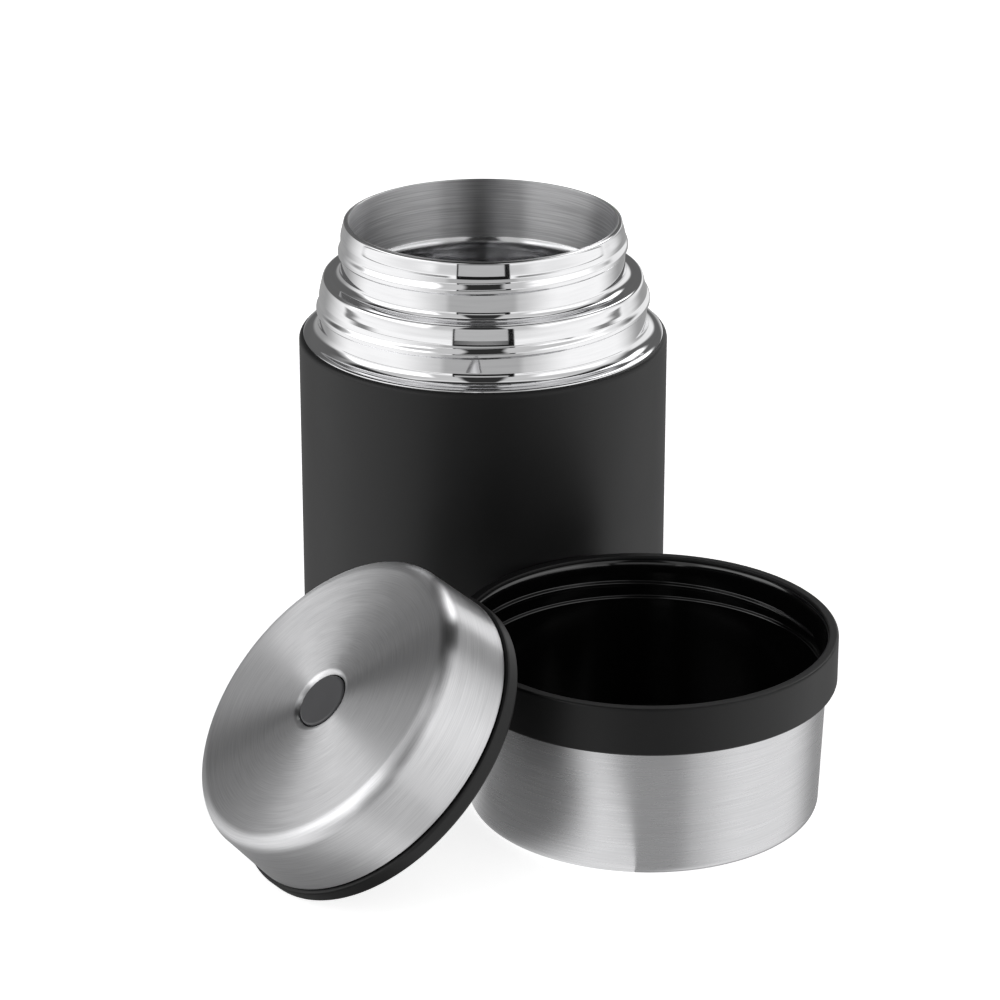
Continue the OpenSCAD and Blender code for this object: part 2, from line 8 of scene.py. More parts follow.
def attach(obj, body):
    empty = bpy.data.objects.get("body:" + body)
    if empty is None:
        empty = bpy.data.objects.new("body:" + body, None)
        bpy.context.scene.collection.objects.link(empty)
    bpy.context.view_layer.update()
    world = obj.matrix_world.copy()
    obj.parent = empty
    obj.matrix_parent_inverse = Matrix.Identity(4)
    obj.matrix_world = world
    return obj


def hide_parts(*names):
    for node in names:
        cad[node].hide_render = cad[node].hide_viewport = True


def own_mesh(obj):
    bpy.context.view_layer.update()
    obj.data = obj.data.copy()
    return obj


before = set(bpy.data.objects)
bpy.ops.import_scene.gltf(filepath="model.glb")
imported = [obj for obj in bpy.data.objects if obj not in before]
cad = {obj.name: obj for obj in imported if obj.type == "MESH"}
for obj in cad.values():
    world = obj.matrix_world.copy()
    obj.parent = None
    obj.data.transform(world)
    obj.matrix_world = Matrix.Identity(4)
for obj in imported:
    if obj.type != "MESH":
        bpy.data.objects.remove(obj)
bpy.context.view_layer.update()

# Camera
# The view of a long studio lens, a little over the rim, looking down into the open jar.
# Its place comes from the rims and ledges of the jar and the cup.
look_down_deg = 22.08
view = bpy.data.cameras.new("studio_lens")
view.lens, view.sensor_width, view.clip_start = 133.2, 36.0, 0.02
viewer = bpy.data.objects.new("studio_camera", view)
viewer.location = (0.0046, -0.9494, 0.4306)
viewer.rotation_euler = (math.radians(90 - look_down_deg), 0, 0)
bpy.context.scene.collection.objects.link(viewer)
bpy.context.scene.camera = viewer

# Outer body
# Drawn stainless tube, the part that the hand holds, with a fine matt black powder coat.
# The coat is sprayed on and baked, so it has a very fine orange peel and no joints.


def corner(c_r, c_z, r, start, end, steps=10):
    """Points of a rounded corner about (c_r, c_z), in millimetres."""
    return [(c_r + r * math.cos(math.radians(start + (end - start) * i / steps)),
             c_z + r * math.sin(math.radians(start + (end - start) * i / steps)))
            for i in range(steps + 1)]


def held(outline):
    """The outline with a ring close to each end of a long stretch, so flats stay flat."""
    too_short, long_enough, ring_gap = 0.01, 1.2, 0.2
    out = []
    for i, p in enumerate(outline):
        q = outline[(i + 1) % len(outline)]
        length = math.dist(p[:2], q[:2])
        if length < too_short:
            continue
        out.append(p)
        if length > long_enough and len(p) < 3:
            for share in (ring_gap / length, 1 - ring_gap / length):
                out.append((p[0] + (q[0] - p[0]) * share, p[1] + (q[1] - p[1]) * share))
    return out


def shown(name, mesh, place=None, sharp_deg=42):
    """A mesh as an object of the scene, smooth but for its sharp edges."""
    mesh.shade_smooth()
    mesh.set_sharp_from_angle(angle=math.radians(sharp_deg))
    piece = bpy.data.objects.new(name, mesh)
    if place is not None:
        piece.matrix_world = place
    bpy.context.scene.collection.objects.link(piece)
    return piece


def spun(name, outline, turns=192, place=None):
    """A piece spun from an outline of (radius, height, rise) points in millimetres."""
    points, rings, faces = [], [], []
    for p in held(outline):
        if p[0] < 1e-6:
            rings.append([len(points)] * turns)
            points.append((0, 0, p[1] / 1000))
            continue
        rings.append(range(len(points), len(points) + turns))
        for j in range(turns):
            turn = 360 * j / turns
            r = (p[0] + (p[2](turn, p[1]) if len(p) > 2 else 0)) / 1000
            bearing = math.radians(turn)
            points.append((r * math.cos(bearing), r * math.sin(bearing), p[1] / 1000))
    for k, low in enumerate(rings):
        high = rings[(k + 1) % len(rings)]
        for j in range(turns):
            n = (j + 1) % turns
            face = list(dict.fromkeys((low[j], low[n], high[n], high[j])))
            if len(face) > 2:
                faces.append(face)
    mesh = bpy.data.meshes.new(name)
    mesh.from_pydata(points, [], faces)
    shape = bmesh.new()
    shape.from_mesh(mesh)
    bmesh.ops.recalc_face_normals(shape, faces=shape.faces)
    shape.to_mesh(mesh)
    shape.free()
    return shown(name, mesh, place)


def finish(name):
    """A new material, its node tree and its Principled shader."""
    material = bpy.data.materials.new(name)
    material.use_nodes = True
    return material, material.node_tree, material.node_tree.nodes["Principled BSDF"]


def put(tree, kind, feeds=None, **settings):
    """A node with its settings, and its sockets fed by other sockets or by plain values."""
    node = tree.nodes.new(kind)
    for key, value in settings.items():
        setattr(node, key, value)
    for key, value in (feeds or {}).items():
        if isinstance(value, bpy.types.NodeSocket):
            tree.links.new(value, node.inputs[key])
        else:
            node.inputs[key].default_value = value
    return node


def tint(tree, shader, share, dark, light):
    """Feeds a colour between two others."""
    tone = put(tree, "ShaderNodeMix", {"Factor": share}, data_type="RGBA")
    tone.inputs["A"].default_value = (*dark, 1)
    tone.inputs["B"].default_value = (*light, 1)
    tree.links.new(tone.outputs["Result"], shader.inputs["Base Color"])


def relief(tree, shader, height, strength, depth):
    """Feeds a bump of this depth in metres."""
    bump = put(tree, "ShaderNodeBump", {"Height": height, "Strength": strength, "Distance": depth})
    tree.links.new(bump.outputs[0], shader.inputs["Normal"])


def wear(piece, body, material, slot, *nodes):
    """Gives a piece its material, lets it ride on its body and stand for its CAD nodes."""
    piece.data.materials.append(material)
    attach(piece, body)
    if nodes:
        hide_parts(*nodes)


# Fine peel of a sprayed or moulded skin: a fast grain over a slow swell
peel = bpy.data.node_groups.new("skin_peel", "ShaderNodeTree")
for label, usual in (("Grain", 2500.0), ("Swell", 60.0)):
    socket = peel.interface.new_socket(label, in_out="INPUT", socket_type="NodeSocketFloat")
    socket.default_value = usual
for label in ("Height", "Shade"):
    peel.interface.new_socket(label, in_out="OUTPUT", socket_type="NodeSocketFloat")
peel_in, peel_out = peel.nodes.new("NodeGroupInput"), peel.nodes.new("NodeGroupOutput")
where = put(peel, "ShaderNodeTexCoord").outputs["Object"]
grain, swell = (
    put(peel, "ShaderNodeTexNoise", {"Vector": where, "Scale": peel_in.outputs[label], "Detail": detail})
    for label, detail in (("Grain", 3.0), ("Swell", 2.0)))
both = put(peel, "ShaderNodeMath", {0: grain.outputs["Fac"], 1: swell.outputs["Fac"]}, operation="ADD")
peel.links.new(both.outputs[0], peel_out.inputs["Height"])
peel.links.new(swell.outputs["Fac"], peel_out.inputs["Shade"])


def skin(name, dark, light, rough, gloss, grain=2500.0, swell=60.0, depth=0.00002, level=0.5):
    """A sprayed or moulded skin: colour, roughness and peel that vary over the surface."""
    material, tree, shader = finish(name)
    texture = put(tree, "ShaderNodeGroup", node_tree=peel)
    texture.inputs["Grain"].default_value = grain
    texture.inputs["Swell"].default_value = swell
    tint(tree, shader, texture.outputs["Shade"], dark, light)
    matt = put(tree, "ShaderNodeMapRange",
               {"Value": texture.outputs["Shade"], "To Min": gloss, "To Max": rough})
    tree.links.new(matt.outputs[0], shader.inputs["Roughness"])
    relief(tree, shader, texture.outputs["Height"], strength=0.35, depth=depth)
    shader.inputs["Specular IOR Level"].default_value = level
    return material


powder_coat = skin("matt_powder_coat", (0.0045, 0.0045, 0.0047), (0.0062, 0.0062, 0.0065),
                   rough=0.50, gloss=0.42, level=0.36)
body_r, body_top, body_wall, body_round = 50.0, 95.3, 0.6, 1.5
heel_z, heel_round, heel_in, shoulder_in = 0.4, 3.5, 39.2, 45.8
body = spun("coated_body", (
    [(heel_in, heel_z)]
    + corner(body_r - heel_round, heel_z + heel_round, heel_round, 270, 360)
    + corner(body_r - body_round, body_top - body_round, body_round, 0, 90)
    + [(shoulder_in, body_top), (shoulder_in, body_top - body_wall)]
    + corner(body_r - body_round, body_top - body_round, body_round - body_wall, 90, 0)
    + corner(body_r - heel_round, heel_z + heel_round, heel_round - body_wall, 360, 270)
    + [(heel_in, heel_z + body_wall)]), turns=240)
wear(body, "jar", powder_coat, "coated_steel", "outer_body")

# Neck
# Polished stainless neck, welded to the body at the shoulder. Two ledges step in to the lip,
# and a right-hand ridge is rolled into each band: the upper one for the lid, the lower for the cup.


def smooth(x):
    """A soft step from 0 to 1."""
    x = min(1.0, max(0.0, x))
    return x * x * (3 - 2 * x)


def rolled(side, height, under, crest, over, pitch, bearing, middle, sweep=345.0):
    """How far a thread stands out of its wall, by bearing and height. Side -1 is inwards.

    under and over are the lengths of its flanks, and crest is half the width of its top. It runs
    round for sweep degrees, with its middle at this bearing, and dies out at both ends.
    """
    run_out = 16
    def rise(turn, z):
        away = (turn - bearing + 180) % 360 - 180
        ends = smooth((sweep / 2 - abs(away)) / run_out)
        off = z - middle - pitch * away / 360
        return side * height * ends * smooth(1 - max(0, abs(off) - crest) / (over if off > 0 else under))
    return rise


def band(r_low, r_high, z_low, z_high, rise, rows):
    """A wall with a thread on it, in close rows."""
    return [(r_low + (r_high - r_low) * i / rows, z_low + (z_high - z_low) * i / rows, rise)
            for i in range(rows + 1)]


cup_pitch, lid_pitch = 5.5, 4.0
cup_ridge = rolled(1, height=0.8, under=0.75, crest=0.35, over=1.7, pitch=cup_pitch,
                   bearing=-90, middle=103.95)
lid_ridge = rolled(1, height=0.7, under=0.75, crest=0.35, over=2.0, pitch=lid_pitch,
                   bearing=-90, middle=119.35)
neck_wall, lower_r, upper_r = 0.6, 44.4, 38.4
flare_z, flare_round, ledge_z, ledge_round = 95.9, 3.0, 111.5, 2.2
outside = (
    [(48.8, body_top), (48.8, 95.6), (48.5, 95.82)]
    + corner(lower_r + flare_round, flare_z + flare_round, flare_round, 270, 180)
    + band(lower_r, lower_r, 100.2, 106.4, cup_ridge, 78) + band(44.36, 44.12, 106.7, 107.9, cup_ridge, 12)
    + [(44.0, 108.4), (43.82, 109.2), (43.64, 110.0), (43.47, 110.7), (43.33, 111.1), (43.08, 111.4),
       (42.7, ledge_z)]
    + corner(upper_r + ledge_round, ledge_z + ledge_round, ledge_round, 270, 180, 14)
    + band(upper_r, 38.38, 116.3, 122.6, lid_ridge, 78) + band(38.36, 38.28, 122.8, 123.4, lid_ridge, 6)
    + [(38.2, 123.75), (38.09, 124.2), (37.94, 124.8), (37.79, 125.4), (37.64, 126.0), (37.54, 126.42)]
    + corner(37.16, 126.42, 0.38, 14, 80, 6))
inside_wall = (
    [(36.6, 126.92), (upper_r - neck_wall, 122.2)]
    + corner(upper_r + ledge_round, ledge_z + ledge_round, ledge_round + neck_wall, 180, 270)
    + corner(42.9, 110.6, 0.3, 90, 0, 4)
    + corner(lower_r + flare_round, flare_z + flare_round, flare_round + neck_wall, 180, 270))
neck = spun("polished_neck", outside + inside_wall, turns=350)

# Turned grain: lines round the piece's own axis, long along the turn and close across it
turned_grain = bpy.data.node_groups.new("turned_grain", "ShaderNodeTree")
for label, usual in (("Lines", 3000.0), ("Length", 4.0)):
    socket = turned_grain.interface.new_socket(label, in_out="INPUT", socket_type="NodeSocketFloat")
    socket.default_value = usual
for label in ("Fine", "Broad"):
    turned_grain.interface.new_socket(label, in_out="OUTPUT", socket_type="NodeSocketFloat")
grain_in = turned_grain.nodes.new("NodeGroupInput")
grain_out = turned_grain.nodes.new("NodeGroupOutput")
where = put(turned_grain, "ShaderNodeTexCoord").outputs["Object"]
spot = put(turned_grain, "ShaderNodeSeparateXYZ", {0: where})
flat = put(turned_grain, "ShaderNodeCombineXYZ", {"X": spot.outputs["X"], "Y": spot.outputs["Y"]})
reach = put(turned_grain, "ShaderNodeVectorMath", {0: flat.outputs[0]}, operation="LENGTH")
toward = put(turned_grain, "ShaderNodeVectorMath", {0: flat.outputs[0]}, operation="NORMALIZE")
run = put(turned_grain, "ShaderNodeMath", {0: spot.outputs["Z"], 1: reach.outputs["Value"]},
          operation="SUBTRACT")
for label, share in (("Fine", 1.0), ("Broad", 0.12)):
    step = put(turned_grain, "ShaderNodeMath", {0: grain_in.outputs["Lines"], 1: share}, operation="MULTIPLY")
    rise_up = put(turned_grain, "ShaderNodeMath", {0: run.outputs[0], 1: step.outputs[0]},
                  operation="MULTIPLY")
    lift = put(turned_grain, "ShaderNodeCombineXYZ", {"Z": rise_up.outputs[0]})
    round_it = put(turned_grain, "ShaderNodeVectorMath",
                   {0: toward.outputs[0], "Scale": grain_in.outputs["Length"]}, operation="SCALE")
    along = put(turned_grain, "ShaderNodeVectorMath", {0: round_it.outputs[0], 1: lift.outputs[0]},
                operation="ADD")
    lines = put(turned_grain, "ShaderNodeTexNoise",
                {"Vector": along.outputs[0], "Scale": 1.0, "Detail": 2.0})
    turned_grain.links.new(lines.outputs["Fac"], grain_out.inputs[label])


def steel(name, dark, light, smooth_to, rough_to, lines, length, depth, across, over=None):
    """Stainless steel with its lathe lines. across stretches the shine across the lines.

    over is the height in metres that the brush reached down to. Under it the sheet is smoother.
    """
    brush_edge, unbrushed = 0.0004, 0.42
    material, tree, shader = finish(name)
    texture = put(tree, "ShaderNodeGroup", node_tree=turned_grain)
    texture.inputs["Lines"].default_value = lines
    texture.inputs["Length"].default_value = length
    lit = put(tree, "ShaderNodeMapRange",
              {"Value": texture.outputs["Fine"], "From Min": 0.3, "From Max": 0.7})
    tint(tree, shader, lit.outputs[0], dark, light)
    matt = put(tree, "ShaderNodeMapRange",
               {"Value": texture.outputs["Broad"], "From Min": 0.3, "From Max": 0.7,
                "To Min": smooth_to, "To Max": rough_to})
    if over is not None:
        spot = put(tree, "ShaderNodeSeparateXYZ", {0: put(tree, "ShaderNodeTexCoord").outputs["Object"]})
        reached = put(tree, "ShaderNodeMapRange",
                      {"Value": spot.outputs["Z"], "From Min": over - brush_edge, "From Max": over,
                       "To Min": unbrushed, "To Max": 1.0})
        matt = put(tree, "ShaderNodeMath", {0: matt.outputs[0], 1: reached.outputs[0]}, operation="MULTIPLY")
    tree.links.new(matt.outputs[0], shader.inputs["Roughness"])
    relief(tree, shader, texture.outputs["Fine"], strength=0.3, depth=depth)
    shader.inputs["Metallic"].default_value = 1.0
    if across:
        shader.inputs["Anisotropic"].default_value = across
        shader.inputs["Anisotropic Rotation"].default_value = 0.25
        turn = put(tree, "ShaderNodeTangent", direction_type="RADIAL", axis="Z")
        tree.links.new(turn.outputs[0], shader.inputs["Tangent"])
    return material


polish = steel("polished_steel", (0.80, 0.80, 0.81), (0.86, 0.86, 0.87), smooth_to=0.03, rough_to=0.06,
               lines=900.0, length=3.0, depth=0.000002, across=0)
wear(neck, "jar", polish, "polished_steel", "neck_sleeve")

# Inner vessel
# Spun stainless vessel that holds the food. Its straight mouth tube keeps the lathe's brushing,
# and it widens under the mouth into a chamber with a rounded floor.
vessel_wall, mouth_r, mouth_foot, draw_round, draw_deg = 0.5, 36.6, 110.6, 1.2, 41.4
throat_round, throat_z, hip_round = 2.0, 108.48, 4.7
chamber_r, floor_z, floor_round, lip_round = 42.5, 6.0, 9.0, 0.25
hip_r, hip_z = chamber_r - hip_round, throat_z - throat_round - hip_round
floor_r = chamber_r - floor_round
vessel_out = (
    [(mouth_r, 126.9)] + corner(mouth_r - draw_round, mouth_foot, draw_round, 0, -draw_deg, 8)
    + corner(hip_r, throat_z, throat_round, 180 - draw_deg, 270, 16)
    + corner(hip_r, hip_z, hip_round, 90, 0, 14)
    + corner(floor_r, floor_z + floor_round, floor_round, 360, 270, 14) + [(0, floor_z)])
vessel_in = (
    [(0, floor_z + vessel_wall)]
    + corner(floor_r, floor_z + floor_round, floor_round - vessel_wall, 270, 360, 14)
    + corner(hip_r, hip_z, hip_round - vessel_wall, 0, 90, 14)
    + corner(hip_r, throat_z, throat_round + vessel_wall, 270, 180 - draw_deg, 16)
    + corner(mouth_r - draw_round, mouth_foot, draw_round - vessel_wall, -draw_deg, 0, 8)
    + corner(mouth_r - lip_round, 126.74, lip_round, 180, 80, 5))
vessel = spun("inner_vessel_wall", vessel_out + vessel_in, turns=288)
mouth_steel = steel("brushed_mouth", (0.62, 0.62, 0.63), (0.88, 0.88, 0.89), smooth_to=0.36, rough_to=0.42,
                    lines=2600.0, length=2.0, depth=0.000003, across=1.0, over=0.1105)
wear(vessel, "jar", mouth_steel, "brushed_steel", "inner_vessel")

# Vacuum parts and base
# Between the walls: copper foil against radiant heat and a getter for the last gas. Underneath,
# a welded plate with its brazed evacuation hole, and a moulded disc that hides them.


def hammered(name, dark, light, rough, metallic, scale, depth):
    """A sheet or pressed metal with slow dents and tarnish."""
    material, tree, shader = finish(name)
    spot = put(tree, "ShaderNodeTexCoord").outputs["Object"]
    dents = put(tree, "ShaderNodeTexNoise", {"Vector": spot, "Scale": scale, "Detail": 4.0})
    tint(tree, shader, dents.outputs["Fac"], dark, light)
    matt = put(tree, "ShaderNodeMapRange",
               {"Value": dents.outputs["Fac"], "To Min": rough * 0.8, "To Max": rough * 1.2})
    tree.links.new(matt.outputs[0], shader.inputs["Roughness"])
    relief(tree, shader, dents.outputs["Fac"], strength=0.5, depth=depth)
    shader.inputs["Metallic"].default_value = metallic
    return material


def refinish(node, material):
    """A CAD node that keeps its mesh and gets a better material."""
    cad[node].data.materials.clear()
    cad[node].data.materials.append(material)


for node, metal, dark, light, rough, metallic, scale, depth in (
        ("heat_foil", "copper_foil", (0.62, 0.30, 0.17), (0.82, 0.46, 0.30), 0.22, 1.0, 260.0, 0.00006),
        ("getter", "getter_metal", (0.16, 0.16, 0.17), (0.30, 0.30, 0.31), 0.6, 0.8, 1500.0, 0.00008),
        ("outer_base", "pressed_plate", (0.42, 0.42, 0.43), (0.56, 0.56, 0.57), 0.35, 1.0, 120.0, 0.00003),
        ("vacuum_seal", "brazed_seal", (0.24, 0.23, 0.22), (0.42, 0.40, 0.37), 0.5, 1.0, 700.0, 0.0001)):
    refinish(node, hammered(metal, dark, light, rough, metallic, scale, depth))
foot_skin = skin("foot_disc_skin", (0.012, 0.012, 0.013), (0.018, 0.018, 0.019), rough=0.62, gloss=0.5,
                 grain=1800.0, swell=90.0, depth=0.00003)
foot_r, foot_top, foot_edge, foot_rim = 39.0, 1.0, 0.4, 0.2
foot = spun("foot_disc", [
    (0, 0), (foot_r - foot_edge, 0), (foot_r, foot_edge), (foot_r, foot_top - foot_rim),
    (foot_r - foot_rim, foot_top), (0, foot_top)], turns=180)
wear(foot, "jar", foot_skin, "black_plastic", "base_cover")

# Cup
# The outer cap of the closed jar, which is also the bowl to eat from: a brushed steel shell,
# a gloss black moulded liner with an inner thread, and a matt collar that grips both.
cup_place = Matrix.Translation((0.0416148, -0.0902694, 0))
shell_wall, shell_foot_r, shell_top_r, shell_top, shell_round = 0.5, 45.1, 46.3, 34.75, 2.2
dish_z, dish_r, dish_ring_r = 0.8, 33.2, 34.8
shell = spun("cup_steel_shell", (
    [(0, dish_z), (dish_r, dish_z), (dish_ring_r, 0)]
    + corner(shell_foot_r - shell_round, shell_round, shell_round, 270, 360)
    + [(shell_top_r, shell_top), (shell_top_r - shell_wall, shell_top)]
    + corner(shell_foot_r - shell_round, shell_round, shell_round - shell_wall, 360, 270)
    + [(dish_ring_r, shell_wall), (dish_r, dish_z + shell_wall), (0, dish_z + shell_wall)]),
    turns=240, place=cup_place)
cup_steel = steel("brushed_cup_steel", (0.58, 0.58, 0.59), (0.66, 0.66, 0.67), smooth_to=0.25, rough_to=0.30,
                  lines=5200.0, length=3.0, depth=0.0000014, across=0.8)
wear(shell, "cup", cup_steel, "brushed_steel", "cup_shell")

cup_rib = rolled(-1, height=0.8, under=0.6, crest=0.3, over=0.6, pitch=cup_pitch, bearing=183, middle=41.0)
liner_z, liner_floor, liner_round, liner_r, bowl_r = 2.0, 1.2, 3.2, 44.55, 43.55
flange_z, flange_r, liner_top, rib_wall_r = 34.8, 47.45, 46.15, 45.675
bowl_z = liner_z + liner_floor
liner = spun("cup_gloss_liner", (
    [(0, liner_z)] + corner(liner_r - liner_round, liner_z + liner_round, liner_round, 270, 360, 12)
    + [(45.75, flange_z), (flange_r, flange_z), (flange_r, liner_top)]
    + [(46.45, liner_top), (46.28, 46.02), (46.12, 45.75), (45.97, 45.3), (45.85, 44.7), (45.75, 44.0),
       (45.69, 43.2)]
    + band(rib_wall_r, rib_wall_r, 42.9, 36.5, cup_rib, 84)
    + [(45.66, 36.22), (45.6, 36.12), (45.45, 36.05)] + corner(45.1, 35.7, 0.35, 90, 180, 6)
    + corner(bowl_r - liner_round, bowl_z + liner_round, liner_round, 360, 270, 12) + [(0, bowl_z)]),
    turns=360, place=cup_place)
gloss_black = skin("gloss_liner", (0.0018, 0.0018, 0.0019), (0.0025, 0.0025, 0.0026), rough=0.14, gloss=0.09,
                   grain=900.0, swell=40.0, depth=0.000004, level=0.85)
wear(liner, "cup", gloss_black, "gloss_plastic", "cup_liner")

grip_r, collar_r, collar_foot, collar_top, collar_round = 47.5, 49.0, 34.6, 47.2, 0.6
hook_r, hook_z = 46.4, 46.2
collar = spun("cup_matt_collar", (
    [(grip_r, collar_foot)]
    + corner(collar_r - collar_round, collar_foot + collar_round, collar_round, 270, 360, 8)
    + corner(collar_r - collar_round, collar_top - collar_round, collar_round, 0, 90, 8)
    + [(46.7, collar_top), (46.48, 47.12), (hook_r, 47.0), (hook_r, hook_z), (grip_r, hook_z)]),
    turns=240, place=cup_place)
matt_black = skin("matt_moulding", (0.0036, 0.0036, 0.0038), (0.0050, 0.0050, 0.0052), rough=0.46, gloss=0.38,
                  grain=3200.0, swell=70.0, depth=0.00002, level=0.34)
wear(collar, "cup", matt_black, "black_plastic", "cup_collar")

# Lid
# The stopper that closes the neck: a spun steel cap pressed over a black moulding with an inner
# thread, an insulated plug under it, and a grey silicone ring that seals on the lip.
lid_place = (Matrix.Translation((-0.024317, -0.124591, 0.0300742))
             @ Matrix.Rotation(math.radians(-152.5), 4, "Z") @ Matrix.Rotation(math.radians(45), 4, "Y"))
cap_wall, cap_foot, cap_foot_r, cap_r, cap_top, cap_round = 0.5, 4.6, 42.1, 41.0, 23.7, 4.0
cap = spun("lid_steel_cap", (
    [(cap_foot_r, cap_foot)] + corner(cap_r - cap_round, cap_top - cap_round, cap_round, 0, 90, 16)
    + [(8.65, cap_top), (8.2, 23.6), (7.6, 23.15), (7.35, 22.9), (7.35, 22.4), (8.6, cap_top - cap_wall)]
    + corner(cap_r - cap_round, cap_top - cap_round, cap_round - cap_wall, 90, 0, 16)
    + [(cap_foot_r - cap_wall, cap_foot)]), turns=288, place=lid_place)
cap_steel = steel("spun_cap_steel", (0.66, 0.66, 0.67), (0.79, 0.79, 0.80), smooth_to=0.28, rough_to=0.32,
                  lines=5200.0, length=3.0, depth=0.000002, across=1.0)
wear(cap, "lid", cap_steel, "brushed_steel", "lid_cap")

lid_rib = rolled(-1, height=0.7, under=0.65, crest=0.65, over=0.65, pitch=lid_pitch, bearing=20, middle=4.35)
rim_r, rim_round, rim_top, lid_bore, deck_z, deck_top = 43.0, 0.8, 4.1, 39.45, 16.2, 17.5
well_r, well_out_r, well_foot, well_floor, well_top, stem_hole = 7.6, 8.9, 13.7, 15.7, 22.3, 1.98
moulding = spun("lid_black_moulding", (
    corner(rim_r - rim_round, rim_round, rim_round, 270, 360, 8)
    + [(rim_r, 3.5), (42.85, 3.95), (42.4, rim_top), (41.5, rim_top), (40.6, 16.9), (40.0, deck_top)]
    + [(well_out_r, deck_top), (well_out_r, well_top), (well_r, well_top), (well_r, well_floor),
       (stem_hole, well_floor), (stem_hole, well_foot), (well_out_r, well_foot), (well_out_r, deck_z),
       (lid_bore, deck_z)]
    + band(lid_bore, lid_bore, 8.6, 0.8, lid_rib, 52) + [(39.6, 0.3), (40.1, 0)]),
    turns=300, place=lid_place)
wear(moulding, "lid", matt_black, "black_plastic", "lid_body")

plug_r, plug_foot, plug_floor, plug_wall, plug_edge = 34.9, -5.7, 1.5, 1.4, 0.3
sleeve_r, valve_room_r, valve_room_top = 3.0, 9.0, -1.8
plug_bottom, room_roof = plug_foot + plug_floor, valve_room_top + plug_floor
plug = spun("lid_plug", (
    [(sleeve_r, well_foot), (sleeve_r, valve_room_top), (valve_room_r, valve_room_top),
     (valve_room_r, plug_foot + plug_edge), (valve_room_r + plug_edge, plug_foot)]
    + corner(plug_r - plug_floor, plug_bottom, plug_floor, 270, 360, 10)
    + [(plug_r, 12.9), (35.6, 13.5), (35.6, 13.8), (plug_r, 14.1), (plug_r, deck_z)]
    + [(plug_r - plug_wall, deck_z), (plug_r - plug_wall, plug_bottom),
       (valve_room_r + plug_wall, plug_bottom), (valve_room_r + plug_wall, room_roof),
       (sleeve_r + plug_wall, room_roof), (sleeve_r + plug_wall, well_foot)]),
    turns=240, place=lid_place)
wear(plug, "lid", matt_black, "black_plastic", "plug_cup")
foam = skin("rigid_foam", (0.66, 0.58, 0.42), (0.78, 0.72, 0.56), rough=0.95, gloss=0.85,
            grain=1400.0, swell=150.0, depth=0.0002)
refinish("lid_insulation", foam)

silicone = skin("grey_silicone", (0.34, 0.34, 0.35), (0.44, 0.44, 0.45), rough=0.50, gloss=0.40,
                grain=1500.0, swell=80.0, depth=0.00002)
ring_in, ring_out, ring_z, ring_top, ring_bevel = 35.2, 39.15, 14.4, 15.9, 0.375
ring_middle, groove_half, groove = (ring_in + ring_out) / 2, 0.125, 0.12
ring = spun("lid_sealing_ring", [
    (ring_in, ring_z + ring_bevel), (ring_in + ring_bevel, ring_z), (ring_middle - groove_half, ring_z),
    (ring_middle, ring_z + groove), (ring_middle + groove_half, ring_z), (ring_out - ring_bevel, ring_z),
    (ring_out, ring_z + ring_bevel), (ring_out, ring_top), (ring_in, ring_top)], turns=240, place=lid_place)
wear(ring, "gasket", silicone, "silicone", "lid_gasket")

# Vent
# A push button in the middle of the lid lets the vacuum out before the lid is turned. It is
# clipped on a white stem with a silicone disc at its end, and a wire spring lifts it.
button_skin = skin("button_skin", (0.060, 0.060, 0.063), (0.080, 0.080, 0.084), rough=0.42, gloss=0.34,
                   grain=2600.0, swell=90.0, depth=0.00002)
stem_r, clip_r, clip_foot, clip_top = 1.9, 3.0, 19.6, 22.2
button_r, button_top, button_round, skirt_r, skirt_foot, under_top = 7.0, 23.4, 0.5, 6.1, 20.1, 21.8
button = spun("vent_push_button", (
    [(0, clip_top), (stem_r, clip_top), (stem_r, clip_foot), (clip_r, clip_foot), (clip_r, under_top),
     (skirt_r, under_top), (skirt_r, skirt_foot), (button_r, skirt_foot)]
    + corner(button_r - button_round, button_top - button_round, button_round, 0, 90, 8)
    + [(clip_r, button_top), (0, button_top)]), turns=144, place=lid_place)
wear(button, "vent", button_skin, "grey_plastic", "vent_button")
disc_r, disc_top, disc_foot, hub_r = 6.6, -2.1, -3.3, 3.2
disc = spun("vent_sealing_disc", [
    (stem_r, disc_top), (hub_r, disc_top), (6.2, disc_top), (disc_r, -2.2), (disc_r, -2.5), (3.4, -3.1),
    (hub_r, disc_foot), (stem_r, disc_foot)], turns=120, place=lid_place)
wear(disc, "vent", silicone, "silicone", "vent_valve")
stem_skin = skin("stem_skin", (0.66, 0.66, 0.63), (0.76, 0.76, 0.73), rough=0.5, gloss=0.4,
                 grain=1800.0, swell=120.0, depth=0.00002)
refinish("vent_stem", stem_skin)

# The spring is wound wire between the floor of the well and the button. It is drawn at its full length, at
# rest.
spring_foot, spring_top, press_travel = 15.75, 21.75, 2.0
wire_r, coil_r, windings = 0.35, 4.5, 4.5
around, steps = 14, 180
wound = []
for k in range(steps + 1):
    turn = math.radians(360 * windings * k / steps)
    middle = spring_foot + wire_r + (spring_top - spring_foot - 2 * wire_r) * k / steps
    for i in range(around):
        b = math.radians(360 * i / around)
        r = (coil_r + wire_r * math.cos(b)) / 1000
        wound.append((r * math.cos(turn), r * math.sin(turn), (middle + wire_r * math.sin(b)) / 1000))
walls = []
for k in range(steps):
    for i in range(around):
        n = (i + 1) % around
        walls.append((k * around + i, k * around + n, (k + 1) * around + n, (k + 1) * around + i))
walls += [tuple(reversed(range(around))), tuple(steps * around + i for i in range(around))]
spring_mesh = bpy.data.meshes.new("vent_return_spring")
spring_mesh.from_pydata(wound, [], walls)
spring = shown("vent_return_spring", spring_mesh, lid_place, 60)
spring_wire = hammered("spring_wire", (0.48, 0.48, 0.49), (0.62, 0.62, 0.63), rough=0.25, metallic=1.0,
                       scale=3000.0, depth=0.00001)
wear(spring, "lid", spring_wire, "spring_steel", "vent_spring")
